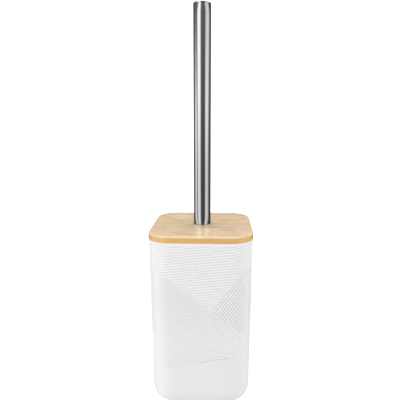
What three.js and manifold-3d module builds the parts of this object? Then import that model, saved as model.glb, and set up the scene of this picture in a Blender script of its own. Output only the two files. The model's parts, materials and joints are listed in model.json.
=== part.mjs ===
// Free-standing toilet brush set: a square canister, and a brush whose steel handle, wooden lid
// and screw-on head lift out of it together. Millimetres, +Z up.
// The origin is the middle of the footprint, on the plane that the feet stand on.
import * as THREE from "three";
import { mergeVertices } from "three/addons/utils/BufferGeometryUtils.js";
import Module from "manifold-3d";

// ---------- driving dimensions ----------
const GAP = 0.3; // between pieces that touch in the assembled product
const FOOT = { r: 6, z0: 0, z1: 2.0, at: 24.5, proud: 1.0 };

const CAN = {
  z0: FOOT.proud, // underside of the canister
  z1: 170.0, // rim
  halfTop: 49.8, // half the outer width at the rim
  halfLow: 48.6, // half the outer width where the lower edge starts to turn in
  corner: 20.5, // plan radius of the upright corners
  turn: 17.0, // radius of the lower edge
  wall: 2.5,
  floor: 3.0,
};

const LID = {
  half: 50.0,
  corner: 20.8,
  z0: CAN.z1 + GAP, // underside of the board
  t: 5.8,
  edge: 1.9, // rounding of the upper edge
  plugHalf: 46.6,
  plugCorner: 17.4,
  plugDepth: 6.5,
  hole: 4.6,
};
LID.z1 = LID.z0 + LID.t;
LID.zp = LID.z0 - LID.plugDepth;

const STUD = { r: 4.0, z0: 137, z1: LID.z1 + 24 };
const WASHER = { r: 12.5, bore: STUD.r + GAP, t: 1.2, z1: LID.zp - GAP };
WASHER.z0 = WASHER.z1 - WASHER.t;

const STEM = {
  flangeR: 12.5,
  flangeT: 3.0,
  z1: WASHER.z0 - GAP,
  rTop: 7.6,
  rLow: 6.8,
  shoulder: 110, // where the head butts up
  spigotR: 5.0,
  spigotL: 13, // the threaded end that the head screws on to
};

const RING = { r: 8.4, bore: STEM.spigotR + GAP, t: 2.0, z1: STEM.shoulder - GAP };
RING.z0 = RING.z1 - RING.t;

const CORE = {
  r: 11.0,
  z0: 34,
  z1: RING.z0 - GAP,
  bore: STEM.spigotR + GAP,
  boreDeep: 14,
};

const ROWS = {
  n: 8,
  zFirst: 37.5,
  pitch: 8.9,
  t: 6.4,
  tufts: 14,
  // outer radius of each row, from the lowest up
  r: [30.5, 34, 36, 36.6, 36.6, 36, 34.5, 31],
  valley: 0.66,
};
const CROWN = { z0: 21.5, z1: CORE.z0 - GAP, r: 25 };

const TUBE = { r: 8.45, wall: 0.8, z0: LID.z1 + GAP, z1: 385.4, seg: 48 };
const CAP = { t: 1.4, seam: 0.1, edge: 0.5, spigot: 9, spigotR: TUBE.r - TUBE.wall - GAP };
const INSERT = {
  r: TUBE.r - TUBE.wall - GAP,
  bore: STUD.r + GAP,
  z0: TUBE.z0,
  l: 32,
  boreDeep: 27,
};

// ---------- library for the boolean cuts ----------
const wasm = await Module();
wasm.setup();

const bare = (g) => {
  const c = g.clone();
  for (const a of Object.keys(c.attributes)) if (a !== "position") c.deleteAttribute(a);
  return mergeVertices(c, 1e-3);
};
const solid = (g) => {
  const m = bare(g);
  return new wasm.Manifold(
    new wasm.Mesh({
      numProp: 3,
      vertProperties: new Float32Array(m.attributes.position.array),
      triVerts: new Uint32Array(m.index.array),
    }),
  );
};
const geometryOf = (s) => {
  const m = s.getMesh();
  const v = new Float32Array(m.numVert * 3);
  for (let i = 0; i < m.numVert; i++)
    v.set(m.vertProperties.subarray(i * m.numProp, i * m.numProp + 3), i * 3);
  const g = new THREE.BufferGeometry();
  g.setAttribute("position", new THREE.BufferAttribute(v, 3));
  g.setIndex(new THREE.BufferAttribute(new Uint32Array(m.triVerts), 1));
  g.computeVertexNormals();
  return g;
};

// ---------- shape helpers ----------
const v2 = (x, y) => new THREE.Vector2(x, y);

// A solid of revolution about Z. The profile lists [radius, z] going up its outer side and down its inner side.
function turned(profile, segments = 48) {
  const g = new THREE.LatheGeometry(
    profile.map(([r, z]) => v2(r, z)),
    segments,
  );
  g.rotateX(Math.PI / 2); // the lathe's own axis is Y
  return g;
}

// The same, but each ring is a square with round corners: a profile entry is [half width, z, corner radius].
function squared(profile, arc = 7) {
  const columns = 4 * (arc + 1);
  const g = new THREE.LatheGeometry(
    profile.map(([w, z]) => v2(w, z)),
    columns,
  );
  const p = g.attributes.position;
  const rows = profile.length;
  for (let i = 0; i <= columns; i++) {
    const k = Math.floor((i % columns) / (arc + 1));
    const a = (k + ((i % columns) % (arc + 1)) / arc) * (Math.PI / 2);
    const sx = k === 0 || k === 3 ? 1 : -1;
    const sy = k < 2 ? 1 : -1;
    for (let j = 0; j < rows; j++) {
      const [w, z, r] = profile[j];
      const c = Math.max(0, Math.min(r, w));
      p.setXYZ(
        i * rows + j,
        sx * (w - c) + c * Math.cos(a),
        sy * (w - c) + c * Math.sin(a),
        z,
      );
    }
  }
  const index = g.index.array;
  for (let i = 0; i < index.length; i += 3) [index[i + 1], index[i + 2]] = [index[i + 2], index[i + 1]];
  return g;
}

const disc = (r, z0, z1, x = 0, y = 0, segments = 40) => {
  const g = new THREE.CylinderGeometry(r, r, z1 - z0, segments);
  g.rotateX(Math.PI / 2);
  g.translate(x, y, (z0 + z1) / 2);
  return g;
};

// Makes sure that the faces point out, whichever way the profile ran.
const outward = (g) => {
  const s = solid(g);
  if (s.volume() >= 0) return g;
  const c = bare(g);
  const index = c.index.array;
  for (let i = 0; i < index.length; i += 3) [index[i + 1], index[i + 2]] = [index[i + 2], index[i + 1]];
  return c;
};

const canHalf = (z) => {
  const low = CAN.z0 + CAN.turn;
  const t = Math.max(0, (z - low) / (CAN.z1 - low));
  return CAN.halfLow + (CAN.halfTop - CAN.halfLow) * t;
};

// ---------- canister ----------
function canister() {
  const outer = [[0, CAN.z0, 0]];
  const turn = 9;
  for (let i = 0; i <= turn; i++) {
    const a = (i / turn) * (Math.PI / 2);
    const inset = CAN.turn * (1 - Math.sin(a));
    outer.push([
      CAN.halfLow - inset,
      CAN.z0 + CAN.turn * (1 - Math.cos(a)),
      Math.max(CAN.corner - inset, 4.5),
    ]);
  }
  for (const z of [60, 110, CAN.z1 - 1.0]) outer.push([canHalf(z), z, CAN.corner]);
  outer.push([CAN.halfTop - 0.6, CAN.z1, CAN.corner - 0.6]);
  // down the inside
  const w = CAN.wall;
  outer.push([CAN.halfTop - w + 0.4, CAN.z1, CAN.corner - w + 0.4]);
  for (const z of [CAN.z1 - 1.2, 110, 60]) outer.push([canHalf(z) - w, z, CAN.corner - w]);
  const zf = CAN.z0 + CAN.floor;
  const ri = CAN.turn - w;
  for (let i = turn; i >= 0; i--) {
    const a = (i / turn) * (Math.PI / 2);
    const inset = ri * (1 - Math.sin(a));
    outer.push([
      CAN.halfLow - w - inset,
      zf + ri * (1 - Math.cos(a)),
      Math.max(CAN.corner - w - inset, 4),
    ]);
  }
  outer.push([0, zf, 0]);
  let s = solid(outward(squared(outer, 8)));
  for (const x of [-1, 1])
    for (const y of [-1, 1])
      s = s.subtract(
        solid(disc(FOOT.r + GAP, -2, FOOT.z1 + GAP, x * FOOT.at, y * FOOT.at)),
      );
  return geometryOf(s);
}

const foot = (x, y) =>
  outward(
    turned(
      [
        [0, FOOT.z0],
        [FOOT.r - 0.4, FOOT.z0],
        [FOOT.r, FOOT.z0 + 0.4],
        [FOOT.r, FOOT.z1],
        [0, FOOT.z1],
      ],
      32,
    ).translate(x, y, 0),
  );

// ---------- lid ----------
function lidBoard() {
  const L = LID;
  const p = [[0, L.zp, 0]];
  p.push([L.plugHalf - 0.8, L.zp, L.plugCorner - 0.8]);
  p.push([L.plugHalf, L.zp + 0.8, L.plugCorner]);
  p.push([L.plugHalf, L.z0, L.plugCorner]);
  p.push([L.half - 0.6, L.z0, L.corner - 0.6]);
  p.push([L.half, L.z0 + 0.6, L.corner]);
  const n = 4;
  for (let i = 0; i <= n; i++) {
    const a = (i / n) * (Math.PI / 2);
    const inset = L.edge * (1 - Math.cos(a));
    p.push([L.half - inset, L.z1 - L.edge + L.edge * Math.sin(a), L.corner - inset]);
  }
  p.push([0, L.z1, 0]);
  const s = solid(outward(squared(p, 8)));
  return geometryOf(s.subtract(solid(disc(L.hole, L.zp - 2, L.z1 + 2))));
}

// ---------- handle ----------
const tube = () =>
  outward(
    turned(
      [
        [TUBE.r - TUBE.wall, TUBE.z0],
        [TUBE.r, TUBE.z0],
        [TUBE.r, TUBE.z1],
        [TUBE.r - TUBE.wall, TUBE.z1],
        [TUBE.r - TUBE.wall, TUBE.z0],
      ],
      TUBE.seg,
    ),
  );

function topCap() {
  const z0 = TUBE.z1 + CAP.seam;
  const z1 = z0 + CAP.t;
  const p = [
    [0, z0 - CAP.spigot],
    [CAP.spigotR - 0.5, z0 - CAP.spigot],
    [CAP.spigotR, z0 - CAP.spigot + 0.5],
    [CAP.spigotR, z0],
    [TUBE.r, z0],
  ];
  for (let i = 0; i <= 4; i++) {
    const a = (i / 4) * (Math.PI / 2);
    p.push([TUBE.r - CAP.edge * (1 - Math.cos(a)), z1 - CAP.edge + CAP.edge * Math.sin(a)]);
  }
  p.push([0, z1]);
  return outward(turned(p, TUBE.seg));
}

const insert = () =>
  outward(
    turned(
      [
        [INSERT.bore, INSERT.z0],
        [INSERT.r, INSERT.z0],
        [INSERT.r, INSERT.z0 + INSERT.l],
        [0, INSERT.z0 + INSERT.l],
        [0, INSERT.z0 + INSERT.boreDeep],
        [INSERT.bore, INSERT.z0 + INSERT.boreDeep],
        [INSERT.bore, INSERT.z0],
      ],
      40,
    ),
  );

// ---------- stem ----------
const stud = () =>
  outward(
    turned(
      [
        [0, STUD.z0],
        [STUD.r - 0.7, STUD.z0],
        [STUD.r, STUD.z0 + 0.7],
        [STUD.r, STUD.z1 - 0.7],
        [STUD.r - 0.7, STUD.z1],
        [0, STUD.z1],
      ],
      32,
    ),
  );

function stem() {
  const S = STEM;
  const bore = STUD.r + GAP;
  const end = S.shoulder - S.spigotL;
  return outward(
    turned(
      [
        [0, end],
        [S.spigotR - 0.8, end],
        [S.spigotR, end + 0.8],
        [S.spigotR, S.shoulder],
        [S.rLow + 1.6, S.shoulder],
        [S.rLow + 1.6, S.shoulder + 3],
        [S.rLow, S.shoulder + 5],
        [S.rTop, S.z1 - S.flangeT - 3],
        [S.rTop + 3, S.z1 - S.flangeT],
        [S.flangeR, S.z1 - S.flangeT],
        [S.flangeR, S.z1],
        [bore, S.z1],
        [bore, STUD.z0 - GAP],
        [0, STUD.z0 - GAP],
      ],
      40,
    ),
  );
}

const ring = (r, bore, z0, z1) =>
  outward(
    turned(
      [
        [bore, z0],
        [r, z0],
        [r, z1],
        [bore, z1],
        [bore, z0],
      ],
      40,
    ),
  );

// ---------- brush head ----------
function core() {
  const C = CORE;
  const p = [[0, C.z0]];
  const round = 7;
  for (let i = 0; i <= 5; i++) {
    const a = (i / 5) * (Math.PI / 2);
    p.push([C.r - round * (1 - Math.sin(a)), C.z0 + round * (1 - Math.cos(a))]);
  }
  p.push([C.r, C.z1 - 1.2]);
  p.push([C.r - 1.2, C.z1]);
  p.push([C.bore, C.z1]);
  p.push([C.bore, C.z1 - C.boreDeep]);
  p.push([0, C.z1 - C.boreDeep]);
  return outward(turned(p, 40));
}

// One row of tufts round the core, as the envelope that its fibres fill.
function tuftRow(index) {
  const R = ROWS.r[index];
  const z = ROWS.zFirst + ROWS.pitch * index;
  const shape = new THREE.Shape();
  const n = ROWS.tufts;
  const turn = (index % 2) * (Math.PI / n);
  for (let i = 0; i < n; i++) {
    const a = (i / n) * Math.PI * 2 + turn;
    const h = Math.PI / n;
    const points = [
      [a - h, R * ROWS.valley],
      [a - 0.55 * h, R],
      [a, R * 1.012],
      [a + 0.55 * h, R],
    ];
    for (const [b, r] of points) {
      const x = r * Math.cos(b);
      const y = r * Math.sin(b);
      if (i === 0 && b === points[0][0]) shape.moveTo(x, y);
      else shape.lineTo(x, y);
    }
  }
  shape.closePath();
  const hole = new THREE.Path();
  hole.absarc(0, 0, CORE.r + GAP, 0, Math.PI * 2, true);
  shape.holes.push(hole);
  const g = new THREE.ExtrudeGeometry(shape, {
    depth: ROWS.t,
    bevelEnabled: false,
    curveSegments: 16,
  });
  g.translate(0, 0, z);
  return outward(g);
}

const crown = () =>
  outward(
    turned(
      [
        [0, CROWN.z0],
        [CROWN.r * 0.5, CROWN.z0 + 0.8],
        [CROWN.r * 0.84, CROWN.z0 + 3.6],
        [CROWN.r, CROWN.z0 + 8],
        [CROWN.r * 0.94, CROWN.z1],
        [0, CROWN.z1],
      ],
      28,
    ),
  );

// ---------- materials ----------
const look = (color, roughness, metalness = 0) =>
  new THREE.MeshStandardMaterial({ color, roughness, metalness });
const white = look(0xeeeeee, 0.55);
const bamboo = look(0xdfbe90, 0.5);
const steel = look(0xb8b8b6, 0.28, 1);
const zinc = look(0xa9aaab, 0.4, 1);
const moulded = look(0xf1f1ef, 0.4);
const silicone = look(0xd9d9d4, 0.6);
const rubber = look(0x6d6d6f, 0.85);
const fibre = look(0xf7f7f5, 0.5);

// ---------- assembly ----------
const set = new THREE.Group();
const add = (name, geometry, material) => {
  const m = new THREE.Mesh(geometry, material);
  m.name = name;
  set.add(m);
};

add("holder_body", canister(), white);
add("foot_pad_front_left", foot(-FOOT.at, -FOOT.at), rubber);
add("foot_pad_front_right", foot(FOOT.at, -FOOT.at), rubber);
add("foot_pad_back_left", foot(-FOOT.at, FOOT.at), rubber);
add("foot_pad_back_right", foot(FOOT.at, FOOT.at), rubber);
add("lid_board", lidBoard(), bamboo);
add("lid_washer", ring(WASHER.r, WASHER.bore, WASHER.z0, WASHER.z1), silicone);
add("joining_stud", stud(), zinc);
add("brush_stem", stem(), moulded);
add("handle_insert", insert(), moulded);
add("handle_tube", tube(), steel);
add("handle_top_cap", topCap(), steel);
add("head_washer", ring(RING.r, RING.bore, RING.z0, RING.z1), silicone);
add("head_core", core(), moulded);
for (let i = 0; i < ROWS.n; i++) add("bristle_row_" + (i + 1), tuftRow(i), fibre);
add("bristle_crown", crown(), fibre);

export default set;
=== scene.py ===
import bpy
import json
import math
import random
from mathutils import Matrix, Vector
from mathutils.geometry import delaunay_2d_cdt

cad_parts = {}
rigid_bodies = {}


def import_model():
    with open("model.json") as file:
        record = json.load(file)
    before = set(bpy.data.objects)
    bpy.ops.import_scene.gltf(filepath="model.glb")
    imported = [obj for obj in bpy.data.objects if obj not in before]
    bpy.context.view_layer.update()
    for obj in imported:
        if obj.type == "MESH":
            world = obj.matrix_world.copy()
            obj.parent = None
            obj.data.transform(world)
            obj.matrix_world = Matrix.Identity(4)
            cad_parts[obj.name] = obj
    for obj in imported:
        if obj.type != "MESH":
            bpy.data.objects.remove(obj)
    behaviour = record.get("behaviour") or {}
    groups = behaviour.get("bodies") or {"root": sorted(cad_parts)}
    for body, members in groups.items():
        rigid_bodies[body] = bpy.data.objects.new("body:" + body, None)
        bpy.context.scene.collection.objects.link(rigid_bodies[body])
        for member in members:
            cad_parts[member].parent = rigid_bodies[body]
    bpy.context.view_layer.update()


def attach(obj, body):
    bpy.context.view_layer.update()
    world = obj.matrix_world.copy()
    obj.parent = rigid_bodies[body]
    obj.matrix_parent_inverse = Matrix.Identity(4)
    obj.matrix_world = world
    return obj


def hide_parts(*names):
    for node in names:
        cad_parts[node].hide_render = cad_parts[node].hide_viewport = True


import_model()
MM = 0.001
PI = math.pi

# ------------------------------------------------------------------ dimensions, mm, as in the CAD
CAN = dict(z0=1.0, z1=170.0, top=49.8, low=48.6, cor=20.5, turn=17.0, wall=2.5, floor=3.0)
LID = dict(half=50.0, cor=20.8, z0=170.3, z1=176.1, edge=1.9, plug=46.6, plugcor=17.4, zp=163.8, hole=4.6)
FOOT = dict(r=6.0, z1=2.0, at=24.5)
TUBE = dict(r=8.45, wall=0.8, z0=176.4, z1=385.4)
CAP = dict(z0=385.5, z1=386.9)
STUD = dict(r=4.0, z0=137.0, z1=200.1)
STEM = dict(z1=162.0, shoulder=110.0, end=97.0)
CORE = dict(r=11.0, z0=34.0, z1=107.4)


# ------------------------------------------------------------------ mesh helpers
def make(name, verts, faces, body, mats, node=None, sharp=35.0, merge=None, shade=None):
    """A closed mesh from mm coordinates, riding on a body."""
    me = bpy.data.meshes.new(name)
    me.from_pydata([(x * MM, y * MM, z * MM) for x, y, z in verts], [], faces)
    # rib_shade carries the painted shade for the ridge grooves
    if shade:
        layer = me.attributes.new("rib_shade", "FLOAT", "POINT")
        layer.data.foreach_set("value", [shade.get(i, 0.0) for i in range(len(verts))])
    if merge:
        import bmesh
        bm = bmesh.new()
        bm.from_mesh(me)
        bmesh.ops.remove_doubles(bm, verts=bm.verts, dist=merge * MM)
        bmesh.ops.recalc_face_normals(bm, faces=bm.faces)
        bm.to_mesh(me)
        bm.free()
    me.validate()
    me.shade_smooth()
    if sharp is not None:
        me.set_sharp_from_angle(angle=math.radians(sharp))
    ob = bpy.data.objects.new(name, me)
    bpy.context.scene.collection.objects.link(ob)
    for m in mats:
        me.materials.append(m)
    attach(ob, body)
    if node:
        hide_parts(*([node] if isinstance(node, str) else node))
    return ob


def loop_faces(rows, n, flip=False, close=True):
    """Quads between equal rings whose vertices follow each other."""
    out = []
    for j in range(rows - 1):
        for i in range(n):
            a, b = j * n + i, j * n + (i + 1) % n
            c, d = (j + 1) * n + (i + 1) % n, (j + 1) * n + i
            out.append((a, d, c, b) if flip else (a, b, c, d))
    return out


def lathe(profile, n=64, x=0.0, y=0.0, radius=None):
    """A solid of revolution. The profile either starts and ends on the axis or closes on itself.
    Its points run so that the solid lies on their left, seen with r to the right and z up."""
    verts, faces = [], []
    closed = profile[0] == profile[-1]
    pts = profile[:-1] if closed else profile
    index = []
    for j, (r, z) in enumerate(pts):
        if r < 1e-9:
            index.append([len(verts)] * n)
            verts.append((x, y, z))
        else:
            index.append(list(range(len(verts), len(verts) + n)))
            for i in range(n):
                a = 2 * PI * i / n
                rr = r if radius is None else radius(r, z, a)
                verts.append((x + rr * math.cos(a), y + rr * math.sin(a), z))
    m = len(pts)
    for j in range(m if closed else m - 1):
        A, B = index[j], index[(j + 1) % m]
        for i in range(n):
            k = (i + 1) % n
            f = [A[i], A[k], B[k], B[i]]
            g = []
            for v in f:
                if v not in g:
                    g.append(v)
            if len(g) > 2:
                faces.append(tuple(g))
    return verts, faces


def arc(cx, cz, r, a0, a1, n):
    return [(cx + r * math.cos(math.radians(a0 + (a1 - a0) * i / n)), cz + r * math.sin(math.radians(a0 + (a1 - a0) * i / n))) for i in range(n + 1)]


# ------------------------------------------------------------------ material helpers
class Nodes:
    def __init__(self, name):
        self.mat = bpy.data.materials.new(name)
        self.mat.use_nodes = True
        self.t = self.mat.node_tree
        self.t.nodes.clear()
        self.out = self.t.nodes.new("ShaderNodeOutputMaterial")
        self.p = self.t.nodes.new("ShaderNodeBsdfPrincipled")
        self.t.links.new(self.p.outputs[0], self.out.inputs[0])

    def new(self, kind, **props):
        n = self.t.nodes.new(kind)
        for k, v in props.items():
            setattr(n, k, v)
        return n

    def link(self, a, b):
        self.t.links.new(a, b)

    def coord(self):
        return self.new("ShaderNodeTexCoord").outputs["Object"]

    def mapped(self, scale, loc=(0, 0, 0), src=None):
        m = self.new("ShaderNodeMapping")
        m.inputs["Scale"].default_value = scale
        m.inputs["Location"].default_value = loc
        self.link(src or self.coord(), m.inputs["Vector"])
        return m.outputs[0]

    def noise(self, vec, scale=1.0, detail=3.0, rough=0.55, distortion=0.0):
        n = self.new("ShaderNodeTexNoise")
        n.inputs["Scale"].default_value = scale
        n.inputs["Detail"].default_value = detail
        n.inputs["Roughness"].default_value = rough
        n.inputs["Distortion"].default_value = distortion
        self.link(vec, n.inputs["Vector"])
        return n.outputs["Fac"]

    def ramp(self, fac, stops, interp="LINEAR"):
        r = self.new("ShaderNodeValToRGB")
        r.color_ramp.interpolation = interp
        e = r.color_ramp.elements
        while len(e) < len(stops):
            e.new(0.5)
        for el, (pos, col) in zip(e, stops):
            el.position = pos
            el.color = (*col, 1) if len(col) == 3 else col
        self.link(fac, r.inputs["Fac"])
        return r.outputs["Color"]

    def math(self, op, a, b=None, c=None, clamp=False):
        m = self.new("ShaderNodeMath", operation=op, use_clamp=clamp)
        for i, v in enumerate((a, b, c)):
            if v is None:
                continue
            if hasattr(v, "links"):
                self.link(v, m.inputs[i])
            else:
                m.inputs[i].default_value = v
        return m.outputs[0]

    def mix(self, fac, a, b, mode="MIX"):
        m = self.new("ShaderNodeMix", data_type="RGBA", blend_type=mode)
        for sock, v in ((m.inputs[0], fac), (m.inputs[6], a), (m.inputs[7], b)):
            if hasattr(v, "links"):
                self.link(v, sock)
            elif isinstance(v, (int, float)):
                sock.default_value = v
            else:
                sock.default_value = (*v, 1)
        return m.outputs[2]

    def range(self, v, lo, hi, a=0.0, b=1.0):
        m = self.new("ShaderNodeMapRange")
        m.inputs["From Min"].default_value = a
        m.inputs["From Max"].default_value = b
        m.inputs["To Min"].default_value = lo
        m.inputs["To Max"].default_value = hi
        self.link(v, m.inputs["Value"])
        return m.outputs[0]

    def bump(self, height, strength, distance, normal=None):
        b = self.new("ShaderNodeBump")
        b.inputs["Strength"].default_value = strength
        b.inputs["Distance"].default_value = distance
        self.link(height, b.inputs["Height"])
        if normal is not None:
            self.link(normal, b.inputs["Normal"])
        return b.outputs[0]

    def pointy(self, lo, hi):
        """0 in hollows to 1 on edges."""
        g = self.new("ShaderNodeNewGeometry").outputs["Pointiness"]
        return self.range(g, 0.0, 1.0, lo, hi)

    def set(self, **kw):
        for k, v in kw.items():
            s = self.p.inputs[k.replace("_", " ")]
            if hasattr(v, "links"):
                self.link(v, s)
            elif isinstance(v, tuple):
                s.default_value = (*v, 1)
            else:
                s.default_value = v
        return self


def plastic(name, base, rough, grain=1800.0, mottle=0.03, bump=0.08, spec=0.5, hollow_shade=0.0, edge=0.03, sss=0.0, tint=(0.97, 0.96, 0.93), groove_shade=0.0):
    n = Nodes(name)
    big = n.noise(n.mapped((1, 1, 1)), scale=38.0, detail=2.0)
    fine = n.noise(n.mapped((1, 1, 1), (3.1, 1.7, 0.4)), scale=grain, detail=4.0, rough=0.65)
    lo = tuple(c * (1 - mottle) * t for c, t in zip(base, tint))
    col = n.mix(n.range(big, 0.0, 1.0, 0.3, 0.7), lo, base)
    worn = n.pointy(0.50, 0.62)
    col = n.mix(n.math("MULTIPLY", worn, edge, clamp=True), col, tuple(min(1.0, c * 1.08) for c in base))
    # painted shade: the colour is darkened in hollows found by pointiness, where shade falls
    if hollow_shade:
        hollow = n.math("SUBTRACT", 1.0, n.pointy(0.40, 0.5), clamp=True)
        col = n.mix(n.math("MULTIPLY", hollow, hollow_shade, clamp=True), col, tuple(c * 0.72 for c in base))
    # painted shade: the colour is darkened by the rib_shade attribute at the bottom of the ridge grooves, where shade
    # falls
    if groove_shade:
        at = n.new("ShaderNodeAttribute", attribute_name="rib_shade")
        col = n.mix(n.math("MULTIPLY", at.outputs["Fac"], groove_shade, clamp=True), col, tuple(c * 0.5 for c in base))
    r = n.range(fine, rough - 0.05, rough + 0.06, 0.3, 0.7)
    r = n.math("ADD", r, n.range(big, -0.03, 0.03, 0.3, 0.7), clamp=True)
    n.set(Base_Color=col, Roughness=r, Normal=n.bump(fine, bump, 0.0001), Specular_IOR_Level=spec)
    if sss:
        n.set(Subsurface_Weight=sss, Subsurface_Scale=0.004)
        n.p.inputs["Subsurface Radius"].default_value = (1.0, 0.95, 0.9)
    return n.mat


def bamboo():
    """Laminated bamboo: strips side by side with fine fibres along X, end grain on the X faces."""
    n = Nodes("lid_bamboo")
    co = n.coord()
    sep = n.new("ShaderNodeSeparateXYZ")
    n.link(co, sep.inputs[0])
    wob = n.noise(n.mapped((14, 22, 14), src=co), scale=1.0, detail=1.0)
    y = n.math("ADD", sep.outputs[1], n.math("MULTIPLY", wob, 0.0006))
    # strips 19 mm wide, each with its own tone
    strip = n.math("FLOOR", n.math("DIVIDE", n.math("ADD", y, 0.0545), 0.0182))
    white = n.new("ShaderNodeTexWhiteNoise", noise_dimensions="1D")
    n.link(strip, white.inputs["W"])
    tone = white.outputs["Value"]
    joint = n.math("FRACT", n.math("DIVIDE", n.math("ADD", y, 0.0545), 0.0182))
    seam = n.math("LESS_THAN", n.math("MINIMUM", joint, n.math("SUBTRACT", 1.0, joint)), 0.012)
    # coordinates shifted along X strip by strip, so that the fibres don't run across a joint
    shift = n.new("ShaderNodeCombineXYZ")
    n.link(n.math("MULTIPLY", tone, 3.0), shift.inputs[0])
    n.link(n.math("MULTIPLY", tone, 0.7), shift.inputs[1])
    add = n.new("ShaderNodeVectorMath", operation="ADD")
    n.link(co, add.inputs[0])
    n.link(shift.outputs[0], add.inputs[1])
    src = add.outputs[0]
    fibre = n.noise(n.mapped((16, 620, 620), src=src), detail=4.0, rough=0.6)
    fleck = n.noise(n.mapped((58, 250, 250), src=src), detail=4.0, rough=0.62, distortion=0.4)
    hair = n.noise(n.mapped((60, 2300, 2300), src=src), detail=2.0, rough=0.5)
    cloud = n.noise(n.mapped((24, 60, 60), (2.0, 5.0, 1.0), src=src), detail=3.0)
    pale, mid, dark = (1.000, 0.800, 0.530), (0.890, 0.645, 0.410), (0.560, 0.345, 0.190)
    col = n.mix(n.range(fleck, 0.0, 1.0, 0.36, 0.62), mid, pale)
    col = n.mix(n.range(fleck, 0.85, 0.0, 0.34, 0.47), col, (0.660, 0.410, 0.245))
    col = n.mix(n.range(fibre, 0.0, 0.42, 0.52, 0.72), col, dark)
    col = n.mix(n.range(hair, 0.0, 0.30, 0.55, 0.75), col, dark)
    col = n.mix(n.range(cloud, 0.0, 0.38, 0.42, 0.66), col, (0.860, 0.585, 0.450))
    col = n.mix(n.range(cloud, 0.30, 0.0, 0.30, 0.46), col, (0.900, 0.690, 0.360))
    col = n.mix(n.math("MULTIPLY", tone, 0.22), col, (0.700, 0.480, 0.310))
    col = n.mix(n.math("MULTIPLY", seam, 0.45), col, (0.420, 0.250, 0.120))
    # cut edges soak up the lacquer and go golden
    geo = n.new("ShaderNodeNewGeometry")
    ns = n.new("ShaderNodeSeparateXYZ")
    n.link(geo.outputs["Normal"], ns.inputs[0])
    side = n.range(n.math("ABSOLUTE", ns.outputs[2]), 1.0, 0.0, 0.05, 0.72)
    col = n.mix(n.math("MULTIPLY", side, 0.87, clamp=True), col, (0.780, 0.445, 0.110), "MIX")
    col = n.mix(n.math("MULTIPLY", n.pointy(0.5, 0.6), 0.12, clamp=True), col, (0.86, 0.68, 0.42))
    rough = n.math("ADD", n.range(fibre, 0.30, 0.44, 0.3, 0.7), n.range(hair, -0.03, 0.04, 0.3, 0.7), clamp=True)
    h = n.math("ADD", n.math("MULTIPLY", fibre, 0.7), n.math("MULTIPLY", hair, 0.3))
    h = n.math("SUBTRACT", h, n.math("MULTIPLY", seam, 0.5))
    n.set(Base_Color=col, Roughness=rough, Normal=n.bump(h, 0.16, 0.0002), Coat_Weight=0.65, Coat_Roughness=0.10)
    return n.mat


def steel(name, base=(0.66, 0.65, 0.64), rough=0.13, lines=9000.0, spread=0.05, bump=0.02, axis="z"):
    """Stainless steel with fine turning lines round the axis and a few rubbed places."""
    n = Nodes(name)
    scale = (30, 30, lines) if axis == "z" else (lines, 30, 30)
    line = n.noise(n.mapped(scale), detail=2.0, rough=0.6)
    smear = n.noise(n.mapped((40, 40, 14), (0.3, 0.2, 0.9)), detail=3.0)
    spots = n.noise(n.mapped((1, 1, 1), (5, 2, 1)), scale=420.0, detail=2.0)
    col = n.mix(n.range(line, 0.0, 1.0, 0.3, 0.7), tuple(c * 0.95 for c in base), base)
    col = n.mix(n.range(smear, 0.0, 0.25, 0.45, 0.75), col, tuple(c * 0.93 for c in base))
    r = n.range(line, rough - spread * 0.4, rough + spread * 0.6, 0.3, 0.7)
    r = n.math("ADD", r, n.range(smear, -0.01, 0.03, 0.4, 0.7))
    r = n.math("ADD", r, n.range(spots, 0.0, 0.04, 0.6, 0.8), clamp=True)
    n.set(Base_Color=col, Metallic=1.0, Roughness=r, Normal=n.bump(line, bump, 0.00005))
    return n.mat


def fibre_mat():
    n = Nodes("bristle_fibre")
    isl = n.new("ShaderNodeNewGeometry").outputs["Random Per Island"]
    along = n.noise(n.mapped((1, 1, 1)), scale=900.0, detail=2.0)
    col = n.mix(isl, (0.80, 0.805, 0.80), (0.90, 0.90, 0.885))
    col = n.mix(n.range(along, 0.0, 0.35, 0.4, 0.7), col, (0.78, 0.78, 0.76))
    n.set(Base_Color=col, Roughness=n.range(along, 0.30, 0.46, 0.3, 0.7), Normal=n.bump(along, 0.05, 0.0001), Subsurface_Weight=0.15, Subsurface_Scale=0.001)
    return n.mat


M_CAN = plastic("canister_plastic", (0.902, 0.894, 0.892), 0.52, grain=2600.0, mottle=0.015, bump=0.025, spec=0.45, hollow_shade=0.12, edge=0.3, tint=(1, 1, 1), groove_shade=0.24)
M_LID = bamboo()
M_STEEL = steel("handle_steel")
M_ZINC = steel("stud_zinc", base=(0.55, 0.56, 0.57), rough=0.30, lines=3000.0, spread=0.1, bump=0.08)
M_FOOT = plastic("foot_rubber", (0.045, 0.046, 0.048), 0.78, grain=2400.0, mottle=0.25, bump=0.35, spec=0.3, hollow_shade=0.0, edge=0.5, tint=(1, 1, 1))
M_WASH = plastic("washer_rubber", (0.52, 0.52, 0.50), 0.62, grain=2200.0, mottle=0.06, bump=0.2, spec=0.35, edge=0.3)
M_STEM = plastic("stem_plastic", (0.82, 0.82, 0.81), 0.30, grain=1500.0, mottle=0.02, bump=0.05, hollow_shade=0.2, edge=0.3, sss=0.1)
M_INSERT = plastic("insert_plastic", (0.62, 0.62, 0.62), 0.38, grain=1500.0, mottle=0.04, bump=0.06, hollow_shade=0.2, edge=0.3)
M_FIBRE = fibre_mat()


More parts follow.
